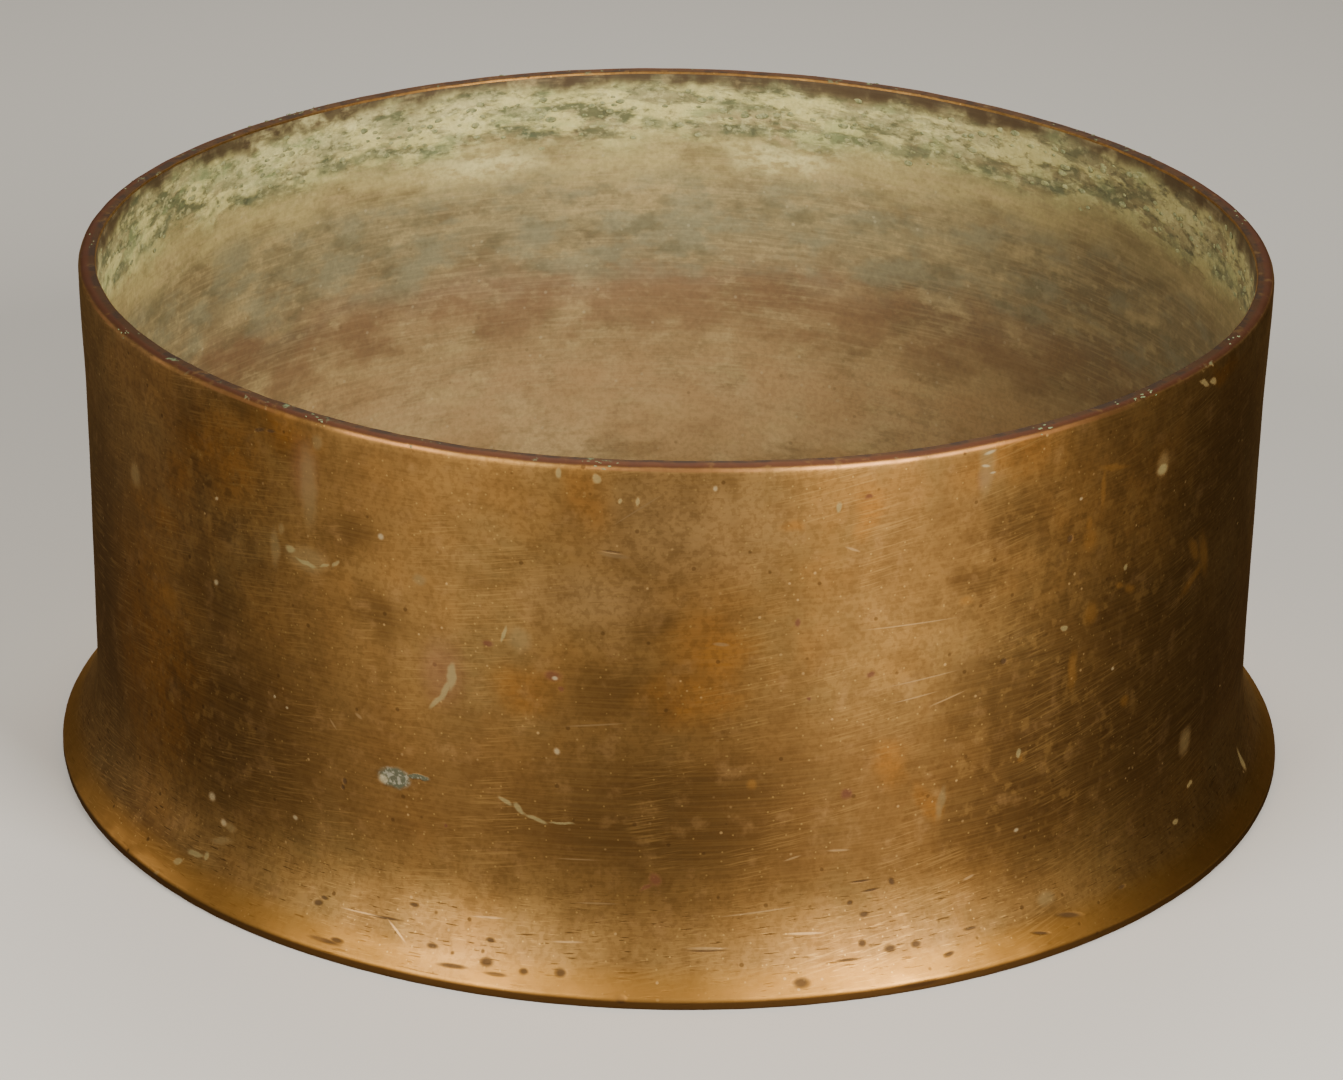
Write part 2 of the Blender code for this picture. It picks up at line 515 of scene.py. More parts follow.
def spots(tree, unrolled, marks, soft=0.3, middle=0):
    """A mask of oval marks on the unrolled wall. Each is (degrees round, height, half width, half
    height, tilt), in mm and degrees; a positive tilt lifts its right end as seen from the front.
    middle is the direction that the wall was unrolled from."""
    nearest = None
    for degrees, height, half_width, half_height, tilt in marks:
        x = math.radians(turned_from(degrees, middle)) * WALL_RADIUS
        y = height * MM
        cos, sin = math.cos(math.radians(tilt)), math.sin(math.radians(tilt))
        ends = []
        for a, b in (
            (cos / (half_width * MM), sin / (half_width * MM)),
            (-sin / (half_height * MM), cos / (half_height * MM)),
        ):
            ends.append(add(
                tree,
                "ShaderNodeVectorMath",
                {0: unrolled, 1: (a, b, -a * x - b * y)},
                operation="DOT_PRODUCT",
            ).outputs["Value"])
        square = add(tree, "ShaderNodeMath", {0: ends[0], 1: ends[0]}, operation="MULTIPLY")
        # 0 at the middle of the oval, 1 at its edge.
        distance = add(
            tree,
            "ShaderNodeMath",
            {0: ends[1], 1: ends[1], 2: square.outputs[0]},
            operation="MULTIPLY_ADD",
        ).outputs[0]
        nearest = distance if nearest is None else add(
            tree, "ShaderNodeMath", {0: nearest, 1: distance}, operation="MINIMUM"
        ).outputs[0]
    distance = add(tree, "ShaderNodeMath", {0: nearest}, operation="SQRT").outputs[0]
    return eased_in(tree, distance, 1 + soft, 1 - soft)


def coat(tree, surface, masks, colour=None, metallic=None, roughness=None, rise=None):
    """Lays a finish over the surface where all its masks meet. rise is how far it stands proud,
    in metres, and a hollow is less than 0."""
    mask = masks[0]
    for other in masks[1:]:
        mask = add(tree, "ShaderNodeMath", {0: mask, 1: other}, operation="MULTIPLY").outputs[0]
    if colour is not None:
        top = linear(colour) if isinstance(colour, str) else colour
        surface["colour"] = add(
            tree, "ShaderNodeMixRGB", {"Fac": mask, "Color1": surface["colour"], "Color2": top}
        ).outputs[0]
    for kind, value in (("metallic", metallic), ("roughness", roughness)):
        if value is not None:
            surface[kind] = add(
                tree,
                "ShaderNodeMapRange",
                {"Value": mask, "To Min": surface[kind], "To Max": value},
            ).outputs["Result"]
    if rise is not None:
        surface["height"] = add(
            tree,
            "ShaderNodeMath",
            {0: mask, 1: rise, 2: surface["height"]},
            operation="MULTIPLY_ADD",
        ).outputs[0]


def started(name, colour, metallic, roughness):
    """A new material, its tree, the place on the object and the bare surface to lay coats on."""
    material = bpy.data.materials.new(name)
    material.use_nodes = True
    tree = material.node_tree
    place = add(tree, "ShaderNodeTexCoord").outputs["Object"]
    surface = {
        "colour": linear(colour), "metallic": metallic, "roughness": roughness, "height": 0.0
    }
    return material, tree, place, surface


def joined(tree, surface, bump=1.0):
    """Joins the finished surface to the shader."""
    shader = tree.nodes["Principled BSDF"]
    for kind, socket in (
        ("colour", "Base Color"), ("metallic", "Metallic"), ("roughness", "Roughness")
    ):
        value = surface[kind]
        if isinstance(value, bpy.types.NodeSocket):
            tree.links.new(value, shader.inputs[socket])
        else:
            shader.inputs[socket].default_value = value
    if isinstance(surface["height"], bpy.types.NodeSocket):
        relief = add(
            tree,
            "ShaderNodeBump",
            {"Height": surface["height"], "Distance": 1.0, "Strength": bump},
        )
        tree.links.new(relief.outputs[0], shader.inputs["Normal"])
    return shader


def unrolled_wall(tree, place, behind=False):
    """The wall rolled out flat: metres round from the front or from behind, height, and 1."""
    side = -1.0 if behind else 1.0
    split = add(tree, "ShaderNodeSeparateXYZ", {0: place})
    across = add(tree, "ShaderNodeMath", {0: split.outputs["X"], 1: side}, operation="MULTIPLY")
    towards = add(tree, "ShaderNodeMath", {0: split.outputs["Y"], 1: -side}, operation="MULTIPLY")
    turn = add(
        tree,
        "ShaderNodeMath",
        {0: across.outputs[0], 1: towards.outputs[0]},
        operation="ARCTAN2",
    )
    around = add(
        tree, "ShaderNodeMath", {0: turn.outputs[0], 1: WALL_RADIUS}, operation="MULTIPLY"
    )
    return add(
        tree,
        "ShaderNodeCombineXYZ",
        {"X": around.outputs[0], "Y": split.outputs["Z"], "Z": 1.0},
    ).outputs[0]


# Marks on the outside: degrees round from the front, height, half width, half height, tilt.
# Dark clouds: partly patina, partly painted shade, such as the two low on the foot that dim the
# lamps' highlights there.
DARK_PATINA_AND_SHADE = (
    (-5, 98, 15, 8, 0),
    (-1, 117, 7, 4, 30),
    (34, 46, 30, 26, 0),
    (30, 84, 18, 16, 20),
    (2, 66, 26, 8, 0),
    (-2, 52, 40, 10, 0),
    (-46, 58, 34, 22, 0),
    (-50, 152, 9, 14, 10),
    (-40, 162, 14, 5, -20),
    (-47, 99, 12, 8, 0),
    (34, 97, 22, 3.5, 4),
    (36, 80, 20, 30, 0),
    (32, 143, 10, 9, 30),
    (29, 124, 9, 7, 0),
    (47, 60, 46, 34, 0),
    (50, 92, 40, 26, 0),
    (62, 130, 36, 34, 0),
    (-70, 80, 40, 60, 0),
    (-29, 137, 9, 7, 0),
    (-27, 112, 8, 7, 0),
    (-60, 8, 38, 9, 0),
    (33, 7, 15, 8, 0),
)
# Painted highlights: pale patches on the middle of the upper wall and low on the foot, where the
# lamps leave them darker.
PAINTED_HIGHLIGHT_PATCHES = (
    (1, 150, 24, 17, 0),
    (-6, 126, 17, 10, 0),
    (-19, 6, 12, 4, 0),
)
# Where the patina is broken up small, dark scabs beside bare metal.
ROUGH_SKIN = (
    (42, 116, 60, 44, 0),
    (38, 64, 46, 30, 0),
    (-46, 132, 30, 34, 0),
    (-50, 60, 30, 34, 0),
)
ORANGE_BLOOMS = (
    (31, 162, 14, 7, 0),
    (-37, 161, 12, 6, 0),
    (-46, 148, 18, 12, 0),
    (-52, 133, 8, 8, 0),
    (-7, 158, 6, 10, 8),
    (4, 108, 12, 10, 0),
    (2, 97, 12, 8, 0),
    (-13, 97, 8, 7, 0),
    (20, 70, 6, 7, 0),
    (24, 56, 2.6, 6, 30),
    (-57, 68, 26, 40, 0),
    (-56, 117, 16, 5, 0),
    (16.8, 151.5, 3.6, 5.5, 20),
    (9.7, 148, 3, 1.8, 0),
    (62, 164, 10, 3, -10),
)
ORANGE_DROPS = (
    (26.9, 119.4, 2.2, 1.3, 0),
    (41.3, 104, 2.6, 3.2, 0),
    (45.1, 109.4, 2.0, 1.0, -20),
    (46.6, 107.0, 2.4, 1.2, -30),
    (40.8, 128.5, 2.8, 3.2, 0),
    (40.6, 133.5, 1.2, 2.0, 0),
    (59.6, 104, 2.6, 7.5, 18),
    (57.5, 98.5, 8.0, 1.8, 24),
    (57.4, 108, 1.8, 5.0, 40),
    (43.2, 149.6, 6.0, 0.9, -12),
    (42, 144, 0.8, 6.0, 0),
    (39.3, 87, 1.6, 6, 0),
    (46.7, 69.8, 1.8, 1.6, 0),
    (33.6, 63, 1.0, 1.0, 0),
    (7.4, 68, 1.2, 1.4, 0),
    (-54, 91, 5, 4, 0),
)
RED_SPOTS = (
    (-1.0, 37.2, 1.7, 2.0, 30),
    (-1.8, 34.6, 0.6, 2.0, -50),
    (17.1, 156.8, 1.2, 0.8, 0),
    (-10.3, 101.3, 2.4, 1.7, 0),
    (-16.2, 109.3, 1.5, 1.0, 0),
    (-9.6, 97.2, 0.8, 0.7, 0),
    (-20.2, 48.2, 0.6, 0.5, 0),
    (16, 62.6, 1.3, 1.6, 0),
    (17.9, 100.4, 1.3, 0.9, 0),
    (11.1, 119.2, 0.9, 1.4, 0),
    (12.2, 95.0, 0.6, 0.6, 0),
)
VERDIGRIS_DROPS = (
    (-21.0, 88.4, 0.8, 3.6, -38),
    (-20.2, 92.2, 1.0, 3.6, -24),
    (-19.6, 97.0, 1.3, 4.2, -4),
    (-14.6, 59.2, 2.4, 0.6, -28),
    (-13.3, 57.2, 2.2, 0.8, -46),
    (-11.8, 54.4, 3.6, 0.7, -18),
    (-9.4, 54.0, 3.4, 0.5, 2),
    (-36.3, 125.4, 1.6, 1.2, 0),
    (-34.5, 122.4, 3.6, 0.6, -8),
    (-32.4, 123.2, 1.8, 0.5, 24),
    (-31.3, 125.0, 0.6, 1.6, -36),
    (-48.4, 12.4, 3.6, 0.8, 8),
    (-46.9, 13.4, 1.0, 1.2, 30),
    (-50.0, 8.4, 1.6, 0.9, 20),
    (-51.8, 2.6, 1.8, 0.5, 50),
    (50.5, 141.9, 3.0, 1.6, 0),
    (-14.7, 113.0, 0.6, 2.4, -16),
    (73.0, 15.0, 1.4, 3.4, 0),
    (57.0, 163.4, 3.4, 0.9, -30),
    (58.8, 162.0, 2.2, 1.0, -30),
    (55.6, 18.2, 1.6, 0.8, 0),
    (59.4, 25.8, 1.7, 0.9, 0),
    (45.8, 114.6, 1.0, 0.9, 0),
    (38.0, 102.2, 1.2, 1.0, 0),
    (-3.0, 158.2, 0.7, 1.4, 0),
    (-4.4, 157.6, 0.6, 0.9, 0),
    (-6.5, 164.4, 1.2, 1.4, 0),
    (-9.8, 165.6, 0.8, 1.6, 0),
    (14.4, 154.8, 0.9, 1.6, 0),
    (33.4, 65.2, 0.8, 1.4, 0),
)
DULL_DROPS = (
    (-60.4, 124.0, 3.2, 3.6, 0),
    (-34.4, 123.8, 7.2, 3.8, 0),
    (-22.6, 126.0, 2.1, 1.7, -20),
    (50.5, 143.8, 3.1, 3.8, 0),
    (58.0, 42.4, 3.6, 4.4, 0),
    (36.4, 15.2, 3.0, 2.0, 0),
    (-13.3, 112.0, 3.4, 3.6, 0),
    (-45.6, 19.4, 4.4, 1.0, 16),
    (-44.6, 24.8, 2.4, 1.4, 0),
    (28.3, 160.6, 2.6, 8.0, 0),
    (-32.9, 162.2, 2.0, 2.2, 0),
    (-37.4, 131.0, 1.2, 1.8, 0),
    (-34.0, 147.0, 3.0, 12.0, 0),
    (-38.2, 124.0, 1.8, 5.5, 0),
    (25.2, 55.0, 1.2, 5.0, -8),
)
GREY_DROP = (
    (-25.3, 60.2, 5.2, 3.2, 4),
    (-22.9, 61.9, 3.6, 0.9, 0),
)
PALE_DOTS = (
    (-26.4, 137.2, 0.9, 0.9, 0),
    # Painted highlight on the raised grey drop.
    (-26.5, 58.9, 1.5, 1.3, 0),
    (-9.9, 77.2, 0.8, 1.0, 20),
    (-46.2, 104.8, 1.0, 0.8, 30),
    (-47.6, 31.4, 1.6, 1.3, 30),
    (-45.8, 132.5, 0.8, 0.5, 30),
    (-36.3, 37.2, 0.9, 0.7, 0),
    (-45.7, 25.0, 1.3, 1.0, 0),
    (-10.1, 100.7, 0.8, 0.6, 0),
    (39.2, 143.0, 0.6, 0.5, 0),
    (33.5, 39.4, 0.8, 0.6, 0),
    (-37.1, 73.0, 0.5, 0.4, 0),
    (-38.6, 75.2, 0.5, 0.5, 0),
    (28.6, 165.4, 1.8, 0.5, 10),
    (28.2, 161.4, 1.3, 0.4, -12),
    (29.0, 158.8, 0.9, 0.3, 0),
    (44.7, 82.6, 0.6, 0.5, 0),
    (3.6, 162.4, 0.6, 0.8, 0),
)
PINK_STAIN = (
    (28.1, 157.6, 2.2, 3.0, 0),
    (-34.4, 152.0, 4.4, 9.0, 0),
    (-20.5, 98.0, 6.0, 9.0, 0),
    (-25.4, 60.6, 3.2, 1.4, 0),
)
NICKS = (
    (-5.0, 140.9, 3.7, 0.75, -8),
    (4.4, 113.3, 2.0, 0.5, -6),
    (15.8, 141.1, 2.0, 0.35, -24),
    (-2.9, 155.6, 7.2, 0.22, 36),
    (21.6, 114.8, 12, 0.2, -1),
    (23.0, 96.6, 9, 0.22, 4),
    (22.2, 91.0, 6, 0.22, 6),
    (25.5, 88.8, 5, 0.25, 14),
    (-6.6, 86.6, 7, 0.25, 7),
    (-24.4, 12.2, 3.6, 0.3, -34),
    (-16.0, 20.6, 4.4, 0.3, 4),
    (8.0, 26.0, 9, 0.25, 5),
    (12.4, 18.8, 5, 0.35, -3),
    (3.6, 16.0, 5, 0.4, -1),
    (28.4, 27.8, 1.8, 0.4, 14),
    (-8.6, 16.4, 4, 0.3, 3),
    (15.4, 44.2, 3, 0.35, -4),
    (11.2, 43.0, 2.2, 0.3, 16),
    (-31.8, 72.6, 1.6, 0.3, -50),
    (-29.0, 77.6, 1.2, 0.5, -30),
    (-8.0, 42.4, 5, 0.2, 2),
    (-6.2, 28.4, 5, 0.25, 2),
    (-28.2, 14.6, 6, 0.22, 2),
)
PITS = (
    (-15.6, 8.8, 1.8, 1.1, 0),
    (-9.0, 8.4, 1.5, 1.0, 0),
    (-12.2, 7.8, 1.2, 0.7, 0),
    (-20.8, 10.4, 1.6, 0.6, 0),
    (-23.2, 20.2, 1.4, 0.6, 0),
    (-15.6, 14.4, 1.3, 0.6, 0),
    (-18.6, 6.6, 4.0, 0.5, 2),
    (-14.6, 6.3, 3.0, 0.4, 0),
    (-32.8, 13.8, 1.5, 0.8, 10),
    (-32.3, 15.6, 1.2, 0.5, 0),
    (-31.0, 5.4, 5.0, 0.5, 0),
    (-29.8, 6.2, 2.0, 0.6, 0),
    (-25.7, 14.8, 4.6, 0.35, 3),
    (11.6, 6.3, 2.2, 1.1, 0),
    (20.0, 12.0, 1.6, 0.9, 0),
    (22.5, 12.0, 1.4, 0.8, 0),
    (20.6, 31.4, 0.8, 1.3, 30),
    (17.9, 22.4, 1.4, 0.8, 0),
    (16.6, 26.4, 0.8, 0.7, 30),
    (17.5, 14.4, 1.0, 0.9, 0),
    (25.4, 8.0, 1.6, 0.5, 8),
    (28.0, 13.1, 2.0, 0.4, 0),
    (18.6, 29.6, 2.6, 0.4, 4),
    (17.6, 33.0, 3.0, 0.35, 0),
    (16.0, 10.6, 3.2, 0.3, 0),
    (38.4, 9.0, 4.2, 0.7, -14),
    (34.8, 7.2, 2.8, 0.4, -14),
    (45.4, 10.2, 1.6, 0.5, 0),
    (3.4, 15.4, 5.0, 0.3, 0),
    (-30.6, 54.8, 0.7, 1.0, 0),
    (-30.8, 52.6, 0.6, 0.7, 0),
    (-39.6, 160.6, 2.2, 0.6, 20),
    (-38.2, 161.4, 1.6, 0.5, 10),
    (31.2, 97.0, 1.0, 0.9, 0),
    (38.2, 131.0, 1.1, 1.2, 0),
    (-5.2, 141.9, 2.8, 0.4, -6),
    (-3.7, 3.0, 1.4, 1.2, 0),
    (22.0, 2.0, 6.0, 0.9, 0),
)


def rubbed_brass_outside():
    """Old golden brass, turned and scoured by hand with sand and ash along the wall: broad soft
    highlights drawn out upright, fine scratches round the wall, and brown to olive patina with
    verdigris where drops have dried."""
    material, tree, place, surface = started("rubbed_brass_outside", "AE854B", 1.0, 0.54)
    split = add(tree, "ShaderNodeSeparateXYZ", {0: place})
    height = split.outputs["Z"]
    unrolled = unrolled_wall(tree, place)
    uneven = unrolled_wall(tree, ragged(tree, place, 5 * MM, 1.2 * MM))
    loose = unrolled_wall(tree, ragged(tree, place, 22 * MM, 9 * MM))

    # Patina: slow clouds, then mottling at the size of a thumb print, then a fine grain. The darker
    # belt and the dark clouds are partly painted shade, and the pale patches are painted
    # highlights.
    tone = patches(tree, place, 75 * MM, 0.36, 0.66, 4)
    coat(tree, surface, [tone, 0.72], "906838", roughness=0.60)
    warm = patches(tree, place, 48 * MM, 0.42, 0.68, 4, shift=3.1)
    coat(tree, surface, [warm, 0.50], "B37F40")
    olive = patches(tree, place, 34 * MM, 0.46, 0.70, 5, shift=5.7)
    coat(tree, surface, [olive, 0.55], "846C40", roughness=0.62)
    # Darker belt between about 30 and 100 mm: partly patina, partly painted shade.
    patina_and_shade_belt_low = eased_in(tree, height, 26 * MM, 46 * MM)
    patina_and_shade_belt_high = eased_in(tree, height, 104 * MM, 66 * MM)
    coat(tree, surface, [patina_and_shade_belt_low, patina_and_shade_belt_high, 0.55], "78532C")
    # Painted highlights: the pale patches listed above.
    coat(tree, surface, [spots(tree, loose, PAINTED_HIGHLIGHT_PATCHES, 0.8), 0.60], "CFA468")
    # Dark clouds, partly patina and partly painted shade.
    clouds = spots(tree, loose, DARK_PATINA_AND_SHADE, 0.75)
    coat(tree, surface, [clouds, 0.74], "604424", roughness=0.64)
    blooms = spots(tree, loose, ORANGE_BLOOMS, 0.75)
    coat(tree, surface, [blooms, 0.50], "B4742A", roughness=0.58)
    mottle = patches(tree, place, 11 * MM, 0.42, 0.66, 6, shift=1.3)
    coat(tree, surface, [mottle, 0.42], "76542D")
    pale_mottle = patches(tree, place, 8 * MM, 0.52, 0.74, 5, shift=7.7)
    coat(tree, surface, [pale_mottle, 0.34], "C0935A")
    grain = patches(tree, place, 1.8 * MM, 0.44, 0.62, 2, shift=2.2)
    coat(tree, surface, [grain, 0.30], "6B4924", rise=-0.008 * MM)
    rough_skin = spots(tree, loose, ROUGH_SKIN, 0.9)
    scabs = patches(tree, place, 7 * MM, 0.48, 0.60, 6, shift=11.4)
    coat(tree, surface, [rough_skin, scabs, 0.48], "553A1E", roughness=0.66)
    bare = patches(tree, place, 5 * MM, 0.54, 0.66, 5, shift=15.9)
    coat(tree, surface, [rough_skin, bare, 0.34], "BC9050")

    # Scouring marks, drawn a little coarser than the real ones so that they show.
    scoured = strokes(tree, unrolled, 34 * MM, 0.7 * MM, 1.0, 0.40, 0.66)
    coat(tree, surface, [scoured, 0.09], "CFA058", rise=0.003 * MM)
    worn = patches(tree, place, 30 * MM, 0.46, 0.60, 3, shift=9.4)
    slanted = strokes(tree, unrolled, 22 * MM, 0.6 * MM, 11.0, 0.52, 0.70, 0.31)
    coat(tree, surface, [slanted, worn, 0.26], "D8A860", roughness=0.50)
    dark_strokes = strokes(tree, unrolled, 9 * MM, 0.5 * MM, 2.0, 0.68, 0.78, 0.77)
    coat(tree, surface, [dark_strokes, 0.34], "5E3F20", rise=-0.008 * MM)
    foot_zone = eased_in(tree, height, 44 * MM, 22 * MM)
    foot_scratches = strokes(tree, unrolled, 7 * MM, 0.45 * MM, 1.5, 0.64, 0.72, 0.53)
    coat(tree, surface, [foot_scratches, foot_zone, 0.36], "D8A860", roughness=0.44)
    foot_dents = strokes(tree, unrolled, 8 * MM, 0.7 * MM, 1.0, 0.67, 0.74, 0.93)
    coat(tree, surface, [foot_dents, foot_zone, 0.70], "4A3018", roughness=0.62, rise=-0.04 * MM)
    # Painted highlight: the foot below about 13 mm is painted a brighter gold, with lower
    # roughness, where the flare catches the lamps.
    coat(tree, surface, [eased_in(tree, height, 13 * MM, 6 * MM), 0.5], "C48A38", roughness=0.46)

    # Dried drops, dirt and small damage, with painted glints as bright specks and a painted
    # highlight on the grey drop.
    # Painted glints: small bright specks of lighter gold, with a little less roughness.
    sparkle = specks(tree, place, 3.0 * MM, 0.42 * MM, 0.7)
    coat(tree, surface, [sparkle, 0.42], "E0B468", roughness=0.48)
    dust = patches(tree, place, 26 * MM, 0.48, 0.62, 3, shift=4.4)
    coat(tree, surface, [specks(tree, place, 5.5 * MM, 0.62 * MM), dust, 0.50], "D8B070", 0.8, 0.6)
    coat(
        tree, surface, [specks(tree, place, 9 * MM, 0.9 * MM, 0.4), 0.60], "54391E", roughness=0.66,
        rise=-0.03 * MM,
    )
    coat(tree, surface, [spots(tree, uneven, ORANGE_DROPS, 0.60), 0.42], "B07A34", 0.9, 0.60)
    coat(tree, surface, [spots(tree, uneven, PINK_STAIN, 0.70), 0.32], "A06C50", 0.9, 0.60)
    coat(tree, surface, [spots(tree, uneven, DULL_DROPS, 0.50), 0.50], "7C6B42", 0.6, 0.66)
    coat(tree, surface, [spots(tree, uneven, RED_SPOTS, 0.50), 0.80], "5A2C16", 0.5, 0.66)
    drop = spots(tree, uneven, GREY_DROP, 0.25)
    coat(tree, surface, [drop, 0.88], "4A523E", 0.4, 0.5, 0.10 * MM)
    flecked = patches(tree, place, 1.6 * MM, 0.50, 0.62, 2, shift=8.8)
    coat(tree, surface, [drop, flecked, 0.6], "A09880", 0.3, 0.5)
    coat(
        tree, surface, [spots(tree, uneven, VERDIGRIS_DROPS, 0.35), 0.50], "948C5C", 0.4, 0.72,
        0.05 * MM,
    )
    # Pale dots, one of them a painted highlight on the grey drop.
    coat(tree, surface, [spots(tree, unrolled, PALE_DOTS, 0.55), 0.55], "B8A880", 0.4, 0.6)
    coat(tree, surface, [spots(tree, unrolled, PITS, 0.50), 0.80], "46301A", 0.7, 0.66, -0.12 * MM)
    coat(tree, surface, [spots(tree, unrolled, NICKS, 0.50), 0.52], "E0B478", 1.0, 0.44)

    # The sole and the narrow face of the foot are painted dark, a painted shade where the foot
    # meets the floor; the edge above it is rubbed bright.
    sole = eased_in(tree, height, 3.4 * MM, 2.2 * MM)
    coat(tree, surface, [sole, 0.90], "4A2F14", 0.9, 0.70)
    edge_high = eased_in(tree, height, 7 * MM, 4.6 * MM)
    edge_low = eased_in(tree, height, 2.4 * MM, 3.6 * MM)
    edge_worn = patches(tree, place, 26 * MM, 0.38, 0.60, 3, shift=6.2)
    coat(tree, surface, [edge_high, edge_low, edge_worn, 0.50], "DC9E4C", 1.0, 0.42)

    # The rim: brown on top, redder to the outside; its outer corner is painted bright on the front
    # half only, a painted highlight broken up in rubbed patches.
    facing = add(
        tree,
        "ShaderNodeSeparateXYZ",
        {0: add(tree, "ShaderNodeTexCoord").outputs["Normal"]},
    ).outputs["Z"]
    lifted = eased_in(tree, height, HEIGHT - 6 * MM, HEIGHT - 4 * MM)
    top = eased_in(tree, facing, 0.55, 0.90)
    coat(tree, surface, [top, lifted, 0.92], "523722", 0.75, 0.62)
    rim_dark = patches(tree, place, 7 * MM, 0.46, 0.60, 4, shift=19.3)
    coat(tree, surface, [top, lifted, rim_dark, 0.60], "2A2016", 0.4, 0.7)
    level = add(tree, "ShaderNodeVectorMath", {0: place, 1: (1, 1, 0)}, operation="MULTIPLY")
    radius = add(
        tree, "ShaderNodeVectorMath", {0: level.outputs[0]}, operation="LENGTH"
    ).outputs["Value"]
    outer_half = eased_in(tree, radius, WALL_RADIUS - 2.6 * MM, WALL_RADIUS - 1.2 * MM)
    coat(tree, surface, [top, lifted, outer_half, 0.55], "6E3C22", 0.8, 0.56)
    corner = eased_in(tree, facing, 0.15, 0.40)
    corner_end = eased_in(tree, facing, 0.78, 0.56)
    rubbed = patches(tree, place, 40 * MM, 0.42, 0.58, 4, shift=0.9)
    # 1 on the front half, where the painted highlight on the rim's corner goes.
    front_half_highlight = eased_in(tree, split.outputs["Y"], 60 * MM, -60 * MM)
    coat(tree, surface, [corner, corner_end, lifted, rubbed, front_half_highlight, 0.60], "C88A54", 1.0, 0.44)
    crumbs = patches(tree, place, 5 * MM, 0.60, 0.68, 4, shift=3.9)
    green_here = patches(tree, place, 34 * MM, 0.50, 0.62, 2, shift=2.9)
    coat(
        tree, surface, [lifted, crumbs, green_here, eased_in(tree, facing, 0.2, 0.5), 0.9],
        "6E7C56", 0.1, 0.8, 0.12 * MM,
    )
    streak_zone = eased_in(tree, height, HEIGHT - 26 * MM, HEIGHT - 4 * MM)
    drips = patches(tree, place, 5 * MM, 0.60, 0.72, 3, 0.16, 4.9)
    coat(tree, surface, [drips, streak_zone, 0.45], "8C6A3A", roughness=0.64)

    shader = joined(tree, surface)
    # Scouring round the wall spreads the highlights upright.
    along = add(
        tree, "ShaderNodeVectorMath", {0: (0, 0, 1), 1: place}, operation="CROSS_PRODUCT"
    )
    tree.links.new(along.outputs[0], shader.inputs["Tangent"])
    shader.inputs["Anisotropic"].default_value = 0.55
    shader.inputs["Anisotropic Rotation"].default_value = 0.25
    return material


# Colours of the inside from the foot up: height in mm and sRGB colour.
INSIDE_BANDS = (
    (0, "B8986A"),
    (19, "CCB07E"),
    (30, "BC9E6C"),
    (54, "A88A5C"),
    (68, "9A8052"),
    (80, "92764C"),
    (90, "886E4C"),
    (98, "86724C"),
    (112, "847650"),
    (124, "8C7C52"),
    (134, "AC9A60"),
    (142, "AE9E62"),
    (147, "8E8656"),
    (153, "A29A64"),
    (160, "A09A66"),
    (165, "6C6440"),
    (169, "4E3E28"),
)
# Dark marks inside, unrolled from behind; the two broad ones on the right-hand side are painted
# shade.
INSIDE_DARK_AND_SHADE = (
    (112, 130, 60, 60, 0),
    (118, 100, 60, 50, 0),
    (187.5, 113, 1.0, 10, 0),
    (187, 100, 1.4, 6, 0),
    (150, 88, 30, 10, 0),
    (168, 86, 14, 9, 0),
    (232, 84, 34, 12, 0),
    (140, 150, 26, 4, 0),
)
INSIDE_PALE = (
    (230, 157, 26, 9, 0),
    (222, 162, 30, 6, 0),
    (205, 158, 24, 7, 0),
    (168, 138, 18, 5, 0),
    (202, 138, 18, 6, 0),
    (150, 156, 26, 5, 0),
    (112, 154, 18, 6, 0),
)


